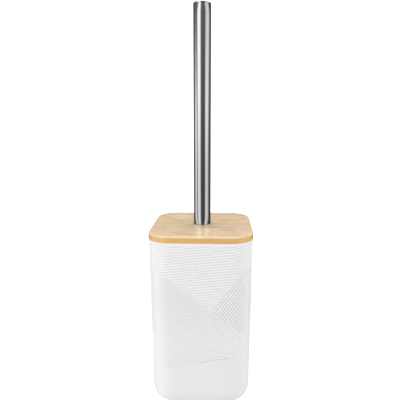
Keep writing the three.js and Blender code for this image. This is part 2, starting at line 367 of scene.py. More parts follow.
# ------------------------------------------------------------------ canister: patches of fine ridges pressed into all four sides
C45 = (CAN["top"] + CAN["low"]) / 2 - CAN["cor"]
NOMFL = C45
C45 = NOMFL + CAN["cor"] * math.sin(PI / 4)  # a face ends at the middle of its corner, seen square on
ZL = CAN["z0"] + CAN["turn"]
ZT = 167.0  # the ridges stop here, below a plain rim
TB = ZL - CAN["turn"] * math.radians(62)
TEND = ZL - CAN["turn"] * PI / 2
JOINT = 0.60
DEEP = dict(A=0.80, B=0.72, C=1.06, E=0.35)
APEX, CREST = 145.8, 77.7
VX = 11.3
MB = -(APEX - CREST) / (2 * C45)
VZ = APEX + MB * (VX + C45)
MC = (APEX - VZ) / (C45 - VX)
E_LO, E_HI = 43.3, 58.5
PA = 38.88 / 15
MA = 38.88 / (8 * C45)
PB = (APEX - CREST) / 24
PC = 2.5 / math.cos(math.atan(MC))
PE = 2.72
ROUND = [(0.0, -1.0), (0.10, -0.74), (0.28, -0.26), (0.5, 0.0), (0.72, -0.26), (0.90, -0.74)]
SHARP = [(0.0, -1.0), (0.07, -0.90), (0.42, -0.12), (0.5, 0.0), (0.58, -0.12), (0.93, -0.90)]
RIBS = dict(A=ROUND, B=ROUND, C=SHARP, E=ROUND)
BAND = 0.55


def rib(phase, kind):
    f = phase - math.floor(phase)
    pts = RIBS[kind] + [(1.0, -1.0)]
    for (a, ha), (b, hb) in zip(pts, pts[1:]):
        if f <= b:
            return (ha + (hb - ha) * (f - a) / (b - a)) * DEEP[kind]
    return -DEEP[kind]


def wall_point(k, q, t, depth=0.0):
    c = CAN
    phi = 0.0 if t > ZL else (ZL - t) / c["turn"]
    inset = c["turn"] * (1 - math.cos(phi))
    half = (c["low"] + (c["top"] - c["low"]) * (t - ZL) / (c["z1"] - ZL)) if t > ZL else c["low"] - inset
    z = t if t > ZL else ZL - c["turn"] * math.sin(phi)
    return corner_point(k, q, half, max(c["cor"] - inset, 4.5), z, depth, phi)


def corner_point(k, q, half, rr, z, depth=0.0, phi=0.0):
    fl = half - rr
    if abs(q) <= NOMFL + 1e-9:
        x, y, nx, ny = q / NOMFL * fl, -half, 0.0, -1.0
    else:
        s = min(1.0, (abs(q) - NOMFL) / CAN["cor"])
        a = math.asin(s)
        sg = 1 if q > 0 else -1
        x, y = sg * (fl + rr * s), -(fl + rr * math.cos(a))
        nx, ny = sg * s, -math.cos(a)
    if depth:
        x += nx * math.cos(phi) * depth
        y += ny * math.cos(phi) * depth
        z -= math.sin(phi) * depth
    for _ in range(k % 4):
        x, y = -y, x
    return (x, y, z)


def split(poly, f):
    """The parts of a convex polygon where the linear f is below and above 0."""
    v = [f(p) for p in poly]
    if min(v) > -1e-7:
        return None, poly
    if max(v) < 1e-7:
        return poly, None
    lo, hi = [], []
    n = len(poly)
    for i in range(n):
        p, q, a, b = poly[i], poly[(i + 1) % n], v[i], v[(i + 1) % n]
        if abs(a) <= 1e-7:
            lo.append(p)
            hi.append(p)
        else:
            (lo if a < 0 else hi).append(p)
        if (a < -1e-7 and b > 1e-7) or (a > 1e-7 and b < -1e-7):
            w = a / (a - b)
            m = (p[0] + (q[0] - p[0]) * w, p[1] + (q[1] - p[1]) * w)
            lo.append(m)
            hi.append(m)
    return (lo if len(lo) > 2 else None), (hi if len(hi) > 2 else None)


def cut_all(polys, f):
    out = []
    for p in polys:
        a, b = split(p, f)
        if a:
            out.append(a)
        if b:
            out.append(b)
    return out


def canister():
    e_l = lambda k: E_LO if k % 2 == 0 else E_HI
    e_r = lambda k: E_HI if k % 2 == 0 else E_LO
    qs = [0.0] + [s * NOMFL * f for s in (-1, 1) for f in (0.5, 1.0)]
    for d in (9, 18, 27, 36):
        for s in (-1, 1):
            qs.append(s * (NOMFL + CAN["cor"] * math.sin(math.radians(d))))
    qs.sort()
    ts = [ZL - CAN["turn"] * math.radians(d) for d in (0, 9, 18, 27, 36, 45, 53.5)]
    verts, vkey, shade = [], {}, {}
    polys = []
    span = 2 * C45

    def key(k, q, t):
        Q = k * span + q
        if abs(Q + C45 - 4 * span) < 1e-5:
            Q = -C45
        return (round(Q * 2e4), round(t * 2e4))

    def vid(k, q, t, d):
        kk = key(k, q, t)
        if kk not in vkey:
            vkey[kk] = len(verts)
            verts.append(wall_point(k, q, t, d))
        return vkey[kk]

    lines = {}  # line -> {vertex id: parameter}

    def note(line, par, v):
        lines.setdefault(line, {})[v] = par

    def member(k, q, t):
        """The patch boundaries that a point lies on."""
        out = []
        e = 2e-5
        if abs(t - (APEX + MB * (q + C45))) < e:
            out.append((("L1", k), q))
        if abs(t - (VZ + MC * (q - VX))) < e:
            out.append((("L2", k), q))
        if abs(t - (e_l(k) + (e_r(k) - e_l(k)) * (q + C45) / span)) < e:
            out.append((("L3", k), q))
        if abs(t - CREST) < e:
            out.append((("L4", k), q))
        if abs(q - C45) < e:
            out.append((("K", k), t))
        if abs(q + C45) < e:
            out.append((("K", (k - 1) % 4), t))
        if abs(t - ZT) < e:
            out.append((("T", k), q))
        if abs(t - TB) < e:
            out.append((("B", k), q))
        return out

    for k in range(4):
        el, er = e_l(k), e_r(k)
        me = (er - el) / span
        f1 = lambda p: (p[1] - (APEX + MB * (p[0] + C45))) / math.hypot(1, MB)
        f2 = lambda p: (p[1] - (VZ + MC * (p[0] - VX))) / math.hypot(1, MC)
        f3 = lambda p: (p[1] - (el + me * (p[0] + C45))) / math.hypot(1, me)
        top = lambda p: ZT - p[1]
        bot = lambda p: p[1] - TB
        left = lambda p: p[0] + C45
        right = lambda p: C45 - p[0]
        phA = lambda p: (p[1] - MA * (p[0] + k * span)) / PA
        phB = lambda p: (p[1] - APEX - MB * (p[0] + C45 + k * span)) / PB
        phC = lambda p: (p[1] - VZ - MC * (p[0] - VX)) / PC
        phE = lambda p: (p[1] - el - me * (p[0] + C45)) / PE + 0.5
        neg = lambda f: (lambda p: -f(p))
        regions = [
            ([(-C45, ZT), (-C45, APEX), (VX, VZ), (C45, APEX), (C45, ZT)], phA, "A", [(f1, "joint", True), (f2, "joint", True), (top, "plain", True)]),
            ([(VX, VZ), (C45, CREST), (C45, APEX)], phC, "C", [(f1, "joint", True), (neg(f2), "joint", False), (right, "joint", True)]),
            ([(-C45, APEX), (-C45, CREST), (C45, CREST)], phB, "B", [(neg(f1), "joint", False), (left, "joint", True)]),
            ([(-C45, CREST), (-C45, el), (C45, er), (C45, CREST)], phB, "B", [(f3, "crest", True)]),
            ([(-C45, el), (-C45, TB), (C45, TB), (C45, er)], phE, "E", [(neg(f3), "crest", False), (bot, "plain", True)]),
        ]
        for shape, ph, kind, edges in regions:
            cells = [shape]
            for f, _, inset in edges:
                if inset:
                    cells = cut_all(cells, lambda p, f=f: f(p) - BAND)
            for q in qs:
                cells = cut_all(cells, lambda p, q=q: p[0] - q)
            for t in ts:
                cells = cut_all(cells, lambda p, t=t: p[1] - t)
            for cell in cells:
                ps = [ph(p) for p in cell]
                lo, hi = math.floor(min(ps) + 1e-6), math.ceil(max(ps) - 1e-6)
                rest = cell
                for n in range(lo, hi + 1):
                    for fr, _ in RIBS[kind]:
                        if rest is None:
                            break
                        a, rest = split(rest, lambda p, v=n + fr: ph(p) - v)
                        if a:
                            polys.append((k, a, ph, kind, edges))
                if rest:
                    polys.append((k, rest, ph, kind, edges))
    faces = []
    for k, poly, ph, kind, edges in polys:
        ids = []
        for q, t in poly:
            kk = key(k, q, t)
            v = vkey.get(kk)
            if v is None:
                d = rib(ph((q, t)), kind)
                if kind == "B":  # these ridges get shallower downwards
                    d *= 0.78 + 0.38 * min(max((t - 70) / 35, 0), 1)
                for f, border, _ in edges:
                    if abs(f((q, t))) < 1e-4:
                        d = {"joint": -JOINT, "crest": -0.08, "plain": 0.0}[border]
                if abs(q) > NOMFL:
                    d *= 1 - 0.40 * ((abs(q) - NOMFL) / (C45 - NOMFL)) ** 1.5
                v = vid(k, q, t, d)
                # painted shade: how deep the vertex lies in its groove, stronger on the C ridges; the canister material
                # darkens its colour by this
                shade[v] = min(1.0, -d / DEEP[kind]) ** 2 * (1.5 if kind == "C" else 0.8 if kind == "E" else 1.0)
            for line, par in member(k, q, t):
                note(line, par, v)
            if not ids or (v != ids[-1]):
                ids.append(v)
        if ids[0] == ids[-1]:
            ids.pop()
        if len(set(ids)) > 2:
            faces.append(ids)

    # plain rings above and below, in the columns of the face
    cols = [(k, q) for k in range(4) for q in [-C45] + qs]
    n = len(cols)

    def ring_ids(pts):
        base = len(verts)
        verts.extend(pts)
        return list(range(base, base + len(pts)))

    def strip(a, b):
        for i in range(n):
            j = (i + 1) % n
            faces.append([a[i], a[j], b[j], b[i]])

    upper = [vid(k, q, ZT, 0.0) for k, q in cols]
    lower = [vid(k, q, TB, 0.0) for k, q in cols]
    for (k, q), u, l in zip(cols, upper, lower):
        for line, par in member(k, q, ZT):
            note(line, par, u)
        for line, par in member(k, q, TB):
            note(line, par, l)
        if abs(q + C45) < 1e-6:  # the corner also ends the face before
            note(("T", (k - 1) % 4), C45, u)
            note(("B", (k - 1) % 4), C45, l)
    c = CAN
    w = c["wall"]
    last = upper
    rows = [(c["top"], c["z1"] - 1.2, c["cor"])]
    for i in range(6):
        a = i / 5 * PI / 2
        rows.append((c["top"] - 0.9 * (1 - math.cos(a)), c["z1"] - 0.9 + 0.9 * math.sin(a), c["cor"] - 0.9 * (1 - math.cos(a))))
    for i in range(6):
        a = i / 5 * PI / 2
        rows.append((c["top"] - w + 0.9 * (1 - math.sin(a)), c["z1"] - 0.9 + 0.9 * math.cos(a), c["cor"] - w + 0.9 * (1 - math.sin(a))))
    for z in (160, 130, 100, 70, 40):
        rows.append((c["low"] + (c["top"] - c["low"]) * (z - ZL) / (c["z1"] - ZL) - w, z, c["cor"] - w))
    zf, ri = c["z0"] + c["floor"], c["turn"] - w
    for i in range(13):
        a = i / 12 * PI / 2
        ins = ri * (1 - math.cos(a))
        rows.append((c["low"] - w - ins, zf + ri * (1 - math.sin(a)), max(c["cor"] - w - ins, 4.0)))
    rows += [(24.0, zf, 4.0), (12.0, zf, 3.0), (4.0, zf, 1.5)]
    for half, z, rr in rows:
        r = ring_ids([corner_point(k, q, half, rr, z) for k, q in cols])
        strip(last, r)
        last = r
    mid = ring_ids([(0, 0, zf)])[0]
    for i in range(n):
        faces.append([last[i], last[(i + 1) % n], mid])
    # under the ridges, round to the base
    last = lower
    m = 4
    for i in range(1, m + 1):
        d = 62 + (90 - 62) * i / m
        r = ring_ids([wall_point(k, q, ZL - c["turn"] * math.radians(d)) for k, q in cols])
        strip(r, last)
        last = r
    # base with four recesses for the pads
    pts2 = [Vector(verts[v][:2]) for v in last]
    loops = [list(range(n))]
    seg = 40
    for sx in (-1, 1):
        for sy in (-1, 1):
            start = len(pts2)
            for i in range(seg):
                a = 2 * PI * i / seg
                pts2.append(Vector((sx * FOOT["at"] + (FOOT["r"] + 0.3) * math.cos(a), sy * FOOT["at"] + (FOOT["r"] + 0.3) * math.sin(a))))
            loops.append(list(range(start, start + seg)))
    for x in (-14, 0, 14):
        for y in (-14, 0, 14):
            pts2.append(Vector((x, y)))
    cons = [(l[i], l[(i + 1) % len(l)]) for l in loops for i in range(len(l))]
    co, _, tri, orig, _, _ = delaunay_2d_cdt(pts2, cons, [], 1, 1e-6)
    ids = {}
    for i, o in enumerate(orig):
        j = o[0] if o else None
        if j is not None and j < n:
            ids[i] = last[j]
        else:
            ids[i] = len(verts)
            verts.append((co[i].x, co[i].y, c["z0"]))
    for f in tri:
        g = sum((co[i] for i in f), Vector((0, 0))) / len(f)
        if any((g - Vector((sx * FOOT["at"], sy * FOOT["at"]))).length < FOOT["r"] + 0.2 for sx in (-1, 1) for sy in (-1, 1)):
            continue
        faces.append([ids[i] for i in reversed(f)])
    back = {o[0]: ids[i] for i, o in enumerate(orig) if o}
    for l in loops[1:]:
        rim = [back[j] for j in l]
        deep = ring_ids([(verts[v][0], verts[v][1], FOOT["z1"] + 0.3) for v in rim])
        for i in range(seg):
            j = (i + 1) % seg
            faces.append([rim[i], rim[j], deep[j], deep[i]])
        cx = sum(verts[v][0] for v in deep) / seg
        cy = sum(verts[v][1] for v in deep) / seg
        mid = ring_ids([(cx, cy, FOOT["z1"] + 0.3)])[0]
        for i in range(seg):
            faces.append([deep[i], deep[(i + 1) % seg], mid])
    # share every vertex along a patch boundary between both sides
    on = {}
    for line, members in lines.items():
        for v in members:
            on.setdefault(v, set()).add(line)
    order = {line: sorted(members.items(), key=lambda x: x[1]) for line, members in lines.items()}
    where = {line: {v: i for i, (v, _) in enumerate(o)} for line, o in order.items()}
    done = []
    for f in faces:
        g = []
        for a, b in zip(f, f[1:] + f[:1]):
            g.append(a)
            for line in on.get(a, set()) & on.get(b, set()):
                i, j = where[line][a], where[line][b]
                if abs(i - j) > 1:
                    step = 1 if j > i else -1
                    g += [order[line][x][0] for x in range(i + step, j, step)]
                    break
        done.append(g)
    return verts, done, shade


# ------------------------------------------------------------------ square rings for the lid
def square_ring(half, cor, z, flat=6, bend=10):
    pts = []
    fl = half - cor
    for k in range(4):
        row = []
        for i in range(flat):
            row.append((-fl + 2 * fl * i / flat, -half))
        for i in range(bend):
            a = i / bend * PI / 2
            row.append((fl + cor * math.sin(a), -fl - cor * math.cos(a)))
        for x, y in row:
            for _ in range(k):
                x, y = -y, x
            pts.append((x, y, z))
    return pts


def lid():
    L = LID
    rings = []
    n = len(square_ring(1, 0.5, 0))

    def morph(w, half, cor, z):
        sq = square_ring(half, cor, z)
        out = []
        for x, y, _ in sq:
            a = math.atan2(y, x)
            out.append((x * w + L["hole"] * math.cos(a) * (1 - w), y * w + L["hole"] * math.sin(a) * (1 - w), z))
        return out

    # underside of the plug, outwards
    zp = L["zp"]
    rings.append(morph(0, L["plug"] - 1, L["plugcor"] - 1, zp))
    for w in (0.2, 0.45, 0.7, 0.9):
        rings.append(morph(w, L["plug"] - 1, L["plugcor"] - 1, zp))
    for i in range(5):
        a = i / 4 * PI / 2
        ins = 1.0 * (1 - math.sin(a))
        rings.append(square_ring(L["plug"] - ins, L["plugcor"] - ins, zp + 1.0 * (1 - math.cos(a))))
    rings.append(square_ring(L["plug"], L["plugcor"], L["z0"] - 0.4))
    rings.append(square_ring(L["plug"] + 0.15, L["plugcor"] + 0.15, L["z0"] - 0.08))
    rings.append(square_ring(L["plug"] + 0.6, L["plugcor"] + 0.6, L["z0"]))
    for i in range(5):
        a = i / 4 * PI / 2
        ins = 0.6 * (1 - math.sin(a))
        rings.append(square_ring(L["half"] - ins, L["cor"] - ins, L["z0"] + 0.6 * (1 - math.cos(a))))
    for i in range(9):
        a = i / 8 * PI / 2
        ins = L["edge"] * (1 - math.cos(a))
        rings.append(square_ring(L["half"] - ins, L["cor"] - ins, L["z1"] - L["edge"] + L["edge"] * math.sin(a)))
    for w in (0.9, 0.7, 0.45, 0.2, 0):
        rings.append(morph(w, L["half"] - L["edge"], L["cor"] - L["edge"], L["z1"]))
    verts = [p for r in rings for p in r]
    faces = loop_faces(len(rings), n)
    m = len(rings)
    for i in range(n):  # wall of the hole
        j = (i + 1) % n
        faces.append(((m - 1) * n + i, (m - 1) * n + j, j, i))
    return verts, faces


# ------------------------------------------------------------------ threads
def thread_radius(pitch, root, crest, z_start, z_end, run=1.0, hand=1):
    def f(r, z, a):
        x = (z / pitch - hand * a / (2 * PI)) % 1.0
        tri = 1 - abs(2 * x - 1)
        t = min(1.0, max(0.0, (tri - 0.12) / 0.72))
        fade = min(1.0, max(0.0, (z - z_start) / run), max(0.0, (z_end - z) / run))
        fade = max(0.0, min(1.0, fade))
        return root + (crest - root) * t * fade
    return f


def threaded_rod(z0, z1, root, crest, pitch, step, cham=0.8):
    """Profile of a full thread from z0 to z1 with tapered ends, as (r, z) rows and a radius function."""
    rows = [(0.0, z0), (root - 0.5, z0), (root, z0 + 0.4)]
    z = z0 + 0.6
    while z < z1 - 0.6:
        rows.append((crest, z))
        z += step
    rows += [(root, z1 - 0.4), (root - 0.5, z1), (0.0, z1)]
    th = thread_radius(pitch, root, crest, z0 + 0.6, z1 - 0.6, run=pitch)
    return rows, (lambda r, zz, a: th(r, zz, a) if abs(r - crest) < 1e-9 else r)


# ------------------------------------------------------------------ build
v, f, shade = canister()
can = make("canister_shell", v, f, "holder", [M_CAN], node="holder_body", sharp=24.0, merge=0.0008, shade=shade)

v, f = lid()
bamboo_lid = make("bamboo_lid", v, f, "brush", [M_LID], node="lid_board", sharp=40.0, merge=0.0005)

for name, sx, sy in (("front_left", -1, -1), ("front_right", 1, -1), ("back_left", -1, 1), ("back_right", 1, 1)):
    prof = [(0.0, 0.25), (1.2, 0.25), (1.5, 0.0)]
    for r in (2.2, 3.3, 4.4):  # shallow rings moulded in the sole
        prof += [(r, 0.0), (r + 0.12, 0.22), (r + 0.38, 0.22), (r + 0.5, 0.0)]
    prof += [(5.45, 0.0)] + [(5.5 + 0.5 * math.sin(a), 0.5 - 0.5 * math.cos(a)) for a in (i / 5 * PI / 2 for i in range(6))]
    prof += [(6.0, 1.8), (5.8, 2.0), (0.0, 2.0)]
    v, f = lathe(prof, 56, sx * FOOT["at"], sy * FOOT["at"])
    make("foot_" + name, v, f, "holder", [M_FOOT], node="foot_pad_" + name, sharp=40.0, merge=0.0005)

# handle tube and its end disc
r, w = TUBE["r"], TUBE["wall"]
prof = [(r - w, TUBE["z0"] + 0.15), (r - w + 0.15, TUBE["z0"]), (r - 0.2, TUBE["z0"]), (r, TUBE["z0"] + 0.2)]
prof += [(r, TUBE["z0"] + 0.2 + (TUBE["z1"] - TUBE["z0"] - 0.3) * i / 24) for i in range(1, 25)]
prof += [(r - 0.1, TUBE["z1"]), (r - w, TUBE["z1"]), (r - w, TUBE["z0"] + 0.15)]
v, f = lathe(prof, 128)
make("steel_handle", v, f, "brush", [M_STEEL], node="handle_tube", sharp=50.0, merge=0.0003)

sr = r - w - 0.3
prof = [(0.0, CAP["z0"] - 9), (sr - 0.6, CAP["z0"] - 9), (sr - 0.15, CAP["z0"] - 8.6), (sr, CAP["z0"] - 8.1)]
for i in range(5):  # gripping ribs round the spigot
    z = CAP["z0"] - 7.4 + 1.4 * i
    prof += [(sr - 0.25, z), (sr, z + 0.35), (sr, z + 0.55), (sr - 0.25, z + 1.0)]
prof += [(sr - 0.25, CAP["z0"] - 0.02), (r - 0.1, CAP["z0"] - 0.02), (r, CAP["z0"] + 0.06)]
prof += [(r - 0.5 * (1 - math.cos(a)), CAP["z1"] - 0.5 + 0.5 * math.sin(a)) for a in (i / 8 * PI / 2 for i in range(9))]
prof += [(4.8, CAP["z1"]), (2.4, CAP["z1"]), (0.0, CAP["z1"])]
v, f = lathe(prof, 128)
make("handle_end_disc", v, f, "brush", [M_STEEL], node="handle_top_cap", sharp=40.0, merge=0.0003)

# insert in the tube, ribbed outside, threaded inside
ir = r - w - 0.3
z0, z1 = TUBE["z0"], TUBE["z0"] + 32
prof = [(4.6, z0), (ir - 0.3, z0), (ir, z0 + 0.3)]
for i in range(9):
    z = z0 + 2 + 3.2 * i
    prof += [(ir, z), (ir - 0.3, z + 0.4), (ir - 0.3, z + 1.2), (ir, z + 1.6)]
prof += [(ir, z1 - 0.8), (ir - 0.8, z1), (0.0, z1), (0.0, z0 + 27.0), (4.0, z0 + 27.0), (4.3, z0 + 26.8)]
bore = []
z = z0 + 26.4
while z > z0 + 0.6:
    bore.append((4.31, z))
    z -= 0.25
th = thread_radius(1.25, 4.3, 4.75, z0 + 0.6, z0 + 26.4, run=1.2)
prof += bore + [(4.6, z0)]
v, f = lathe(prof, 48, radius=lambda rr, zz, a: th(rr, zz, a) if abs(rr - 4.31) < 1e-9 else rr)
make("tube_insert", v, f, "brush", [M_INSERT], node="handle_insert", sharp=40.0, merge=0.0003)

# stud
rows, rad = threaded_rod(STUD["z0"], STUD["z1"], 3.35, STUD["r"], 1.25, 0.21)
v, f = lathe(rows, 40, radius=rad)
make("threaded_stud", v, f, "brush", [M_ZINC], node="joining_stud", sharp=60.0, merge=0.0003)


def soft_ring(bore, outer, z0, z1, n=64, round_=0.35):
    b = min(round_, (z1 - z0) * 0.45)
    prof = []
    for cx, cz, a0 in ((bore + b, z0 + b, 180), (outer - b, z0 + b, 270), (outer - b, z1 - b, 0), (bore + b, z1 - b, 90)):
        prof += arc(cx, cz, b, a0, a0 + 90, 4)
    prof.append(prof[0])
    return lathe(prof, n)


v, f = soft_ring(4.3, 12.5, 162.3, 163.5)
make("washer_under_lid", v, f, "brush", [M_WASH], node="lid_washer", sharp=60.0, merge=0.0003)
v, f = soft_ring(5.3, 8.4, 107.7, 109.7, round_=0.7)
make("washer_above_head", v, f, "head_ring", [M_WASH], node="head_washer", sharp=60.0, merge=0.0003)

# stem with its flange and coarse threaded end
S = STEM
prof = [(0.0, S["end"]), (3.9, S["end"]), (4.3, S["end"] + 0.4)]
z = S["end"] + 0.5
while z < S["shoulder"] - 0.6:
    prof.append((5.0001, z))
    z += 0.24
prof += [(4.6, S["shoulder"] - 0.3), (4.6, S["shoulder"])]
prof += [(7.9, S["shoulder"]), (8.4, S["shoulder"] + 0.5), (8.4, S["shoulder"] + 2.6)]
prof += [(8.25, S["shoulder"] + 3.1), (7.5, S["shoulder"] + 4.4), (6.95, S["shoulder"] + 5.6), (6.8, S["shoulder"] + 7.0)]
for i in range(1, 9):
    t = i / 8
    prof.append((6.8 + 0.8 * t, S["shoulder"] + 7.0 + (S["z1"] - 6.5 - S["shoulder"] - 7.0) * t))
zt = S["z1"] - 3.0
for i in range(1, 7):
    a = i / 6 * PI / 2
    prof.append((7.6 + 3.2 * (1 - math.cos(a)), zt - 3.2 + 3.2 * math.sin(a)))
prof += [(12.0, zt), (12.5, zt + 0.5), (12.5, S["z1"] - 0.5), (12.0, S["z1"]), (4.9, S["z1"]), (4.31, S["z1"] - 0.6)]
z = S["z1"] - 1.0
while z > STUD["z0"] + 0.4:
    prof.append((4.31, z))
    z -= 0.25
prof += [(4.3, STUD["z0"] - 0.3), (0.0, STUD["z0"] - 0.3)]
ext = thread_radius(3.25, 4.25, 5.0, S["end"] + 0.4, S["shoulder"] - 0.6, run=1.4)
inn = thread_radius(1.25, 4.3, 4.75, STUD["z0"] + 0.3, S["z1"] - 0.8, run=1.2)


def stem_radius(rr, zz, a):
    if abs(rr - 5.0001) < 1e-9:
        return ext(rr, zz, a)
    if abs(rr - 4.31) < 1e-9:
        return inn(rr, zz, a)
    if S["shoulder"] + 7.0 <= zz <= S["z1"] - 6.5 and rr > 5:  # eight shallow flutes down the stem
        t = (zz - S["shoulder"] - 7.0) / (S["z1"] - 13.5 - S["shoulder"])
        return rr - 0.35 * max(0.0, math.sin(PI * t)) ** 0.5 * (0.5 - 0.5 * math.cos(8 * a))
    return rr


v, f = lathe(prof, 72, radius=stem_radius)
make("moulded_stem", v, f, "brush", [M_STEM], node="brush_stem", sharp=45.0, merge=0.0003)

# core of the head with a raised land under every ring of tufts
ROWS_Z = [37.5 + 8.9 * i + 3.2 for i in range(8)]
ROW_R = [30.5, 34, 36, 36.6, 36.6, 36, 34.5, 31]
C = CORE
prof = [(0.0, C["z0"])]
for i in range(1, 9):
    a = i / 8 * PI / 2
    prof.append((C["r"] - 7 * (1 - math.sin(a)) - 0.4, C["z0"] + 7 * (1 - math.cos(a))))
for zc in ROWS_Z:
    if zc - 2.8 > C["z0"] + 7.2:
        prof += [(10.6, zc - 2.9), (11.0, zc - 2.4), (11.0, zc + 2.4), (10.6, zc + 2.9)]
    else:
        prof += [(10.8, C["z0"] + 7.6), (11.0, C["z0"] + 8.0)] if zc == ROWS_Z[0] else []
zt = C["z1"]
prof += [(10.6, zt - 1.4), (10.2, zt - 0.5), (9.6, zt), (5.9, zt), (5.32, zt - 0.6)]
z = zt - 0.9
while z > zt - 13.3:
    prof.append((5.31, z))
    z -= 0.24
prof += [(5.3, zt - 13.7), (4.9, zt - 14.0), (0.0, zt - 14.0)]
clean = [prof[0]]
for p in prof[1:]:
    if p[1] != clean[-1][1] or p[0] != clean[-1][0]:
        clean.append(p)
core_th = thread_radius(3.25, 5.3, 5.95, zt - 13.3, zt - 0.9, run=1.0)
v, f = lathe(clean, 64, radius=lambda rr, zz, a: core_th(rr, zz, a) if abs(rr - 5.31) < 1e-9 else rr)
make("head_core_moulding", v, f, "head", [M_STEM], node="head_core", sharp=45.0, merge=0.0003)


# ------------------------------------------------------------------ bristles
def fibre(verts, faces, pts, r0, r1, sides=5):
    base = len(verts)
    m = len(pts)
    for j, p in enumerate(pts):
        a = pts[min(j + 1, m - 1)]
        b = pts[max(j - 1, 0)]
        d = (Vector(a) - Vector(b)).normalized()
        u = d.cross(Vector((0, 0, 1)))
        if u.length < 0.1:
            u = d.cross(Vector((1, 0, 0)))
        u.normalize()
        w = d.cross(u)
        rr = r0 + (r1 - r0) * j / (m - 1)
        if j == m - 1:
            rr *= 0.7
        for i in range(sides):
            t = 2 * PI * i / sides
            q = Vector(p) + u * (rr * math.cos(t)) + w * (rr * math.sin(t))
            verts.append(tuple(q))
    for j in range(m - 1):
        for i in range(sides):
            k = (i + 1) % sides
            faces.append((base + j * sides + i, base + j * sides + k, base + (j + 1) * sides + k, base + (j + 1) * sides + i))
    faces.append(tuple(base + i for i in reversed(range(sides))))
    faces.append(tuple(base + (m - 1) * sides + i for i in range(sides)))


rng = random.Random(41)
TUFTS = 22
for k in range(8):
    verts, faces = [], []
    for t in range(TUFTS):
        az = 2 * PI * (t + 0.5 * (k % 2)) / TUFTS
        er = Vector((math.cos(az), math.sin(az), 0))
        et = Vector((-math.sin(az), math.cos(az), 0))
        for s in range(19):
            ra = 1.15 * math.sqrt(rng.random())
            th = rng.random() * 2 * PI
            bt, bz = ra * math.cos(th), ra * math.sin(th)
            R = ROW_R[k] + rng.uniform(-0.55, 0.35)
            lean = rng.gauss(0, 0.5)
            tt = bt * 2.5 + lean
            tz = bz * 2.3 + rng.gauss(0, 0.45) + (ROW_R[k] - 36.6) * -0.04 * (1 if k > 3 else -1)
            tz = max(-3.9, min(3.9, tz))
            tt = max(-5.0, min(5.0, tt))
            bow = rng.uniform(-0.5, 0.5)
            pts = []
            for j in range(4):
                w = j / 3
                rr = 10.3 + (R - 10.3) * w
                p = er * rr + et * (bt * (1 - w) + tt * w + bow * math.sin(PI * w)) + Vector((0, 0, ROWS_Z[k] + bz * (1 - w) + tz * w))
                pts.append(tuple(p))
            fibre(verts, faces, pts, 0.20, 0.17)
    make("bristle_ring_%d" % (k + 1), verts, faces, "head", [M_FIBRE], node="bristle_row_%d" % (k + 1), sharp=70.0)

verts, faces = [], []
for ring, count, r_at, z_at, r_tip, z_tip in ((0, 1, 0.0, 34.6, 0.0, 21.7), (1, 7, 3.4, 35.0, 9.5, 21.9), (2, 11, 6.4, 36.6, 17.5, 23.2), (3, 15, 8.8, 38.6, 24.0, 27.4)):
    for t in range(count):
        az = 2 * PI * (t + 0.3 * ring) / count
        er = Vector((math.cos(az), math.sin(az), 0))
        et = Vector((-math.sin(az), math.cos(az), 0))
        for s in range(19):
            ra = 1.1 * math.sqrt(rng.random())
            th = rng.random() * 2 * PI
            b = er * (ra * math.cos(th)) + et * (ra * math.sin(th))
            jitter = er * rng.gauss(0, 0.4) + et * rng.gauss(0, 0.5)
            base = er * r_at + b + Vector((0, 0, z_at))
            tip = er * r_tip + b * 2.6 + jitter + Vector((0, 0, z_tip + rng.uniform(-0.1, 0.9)))
            bow = rng.uniform(-0.4, 0.4)
            pts = []
            for j in range(4):
                w = j / 3
                p = base.lerp(tip, w) + et * (bow * math.sin(PI * w)) + er * (1.2 * math.sin(PI * w) * (ring > 0))
                pts.append(tuple(p))
            fibre(verts, faces, pts, 0.20, 0.17)
make("bristle_end_tufts", verts, faces, "head", [M_FIBRE], node="bristle_crown", sharp=70.0)

# ------------------------------------------------------------------ stage
n = Nodes("studio_floor")
soft = n.noise(n.mapped((1, 1, 1)), scale=3.0, detail=2.0)
n.set(Base_Color=n.mix(soft, (0.90, 0.90, 0.90), (0.93, 0.93, 0.93)), Roughness=0.7, Emission_Color=(1.0, 1.0, 1.0), Emission_Strength=0.62)
fm = bpy.data.meshes.new("studio_floor")
half, rad = 2.2, 0.5
prof = [(-half, 0.0), (1.3, 0.0)] + [(1.3 + rad * math.sin(a), rad - rad * math.cos(a)) for a in (i / 12 * PI / 2 for i in range(1, 13))] + [(1.3 + rad, 2.6)]
vs = [(x, y, z) for y, z in prof for x in (-half, half)]
fm.from_pydata(vs, [], [(2 * i, 2 * i + 1, 2 * i + 3, 2 * i + 2) for i in range(len(prof) - 1)])
fm.shade_smooth()
fm.materials.append(n.mat)
floor = bpy.data.objects.new("studio_floor", fm)
bpy.context.scene.collection.objects.link(floor)
floor.visible_glossy = False
floor.visible_diffuse = False

# ------------------------------------------------------------------ light
world = bpy.data.worlds.new("studio")
bpy.context.scene.world = world
world.use_nodes = True
wt = world.node_tree
wt.nodes.clear()
out = wt.nodes.new("ShaderNodeOutputWorld")


def wnode(kind, **kw):
    x = wt.nodes.new(kind)
    for a, b in kw.items():
        setattr(x, a, b)
    return x


gen = wnode("ShaderNodeTexCoord").outputs["Generated"]
sep = wnode("ShaderNodeSeparateXYZ")
wt.links.new(gen, sep.inputs[0])
neg = wnode("ShaderNodeMath", operation="MULTIPLY")
wt.links.new(sep.outputs[1], neg.inputs[0])
neg.inputs[1].default_value = -1.0
azi = wnode("ShaderNodeMath", operation="ARCTAN2")
wt.links.new(sep.outputs[0], azi.inputs[0])
wt.links.new(neg.outputs[0], azi.inputs[1])
pos = wnode("ShaderNodeMapRange")
pos.inputs["From Min"].default_value = -PI
pos.inputs["From Max"].default_value = PI
wt.links.new(azi.outputs[0], pos.inputs["Value"])
ramp = wnode("ShaderNodeValToRGB")
wt.links.new(pos.outputs[0], ramp.inputs[0])
SKY_LO, SKY_HI = 0.69, 0.73
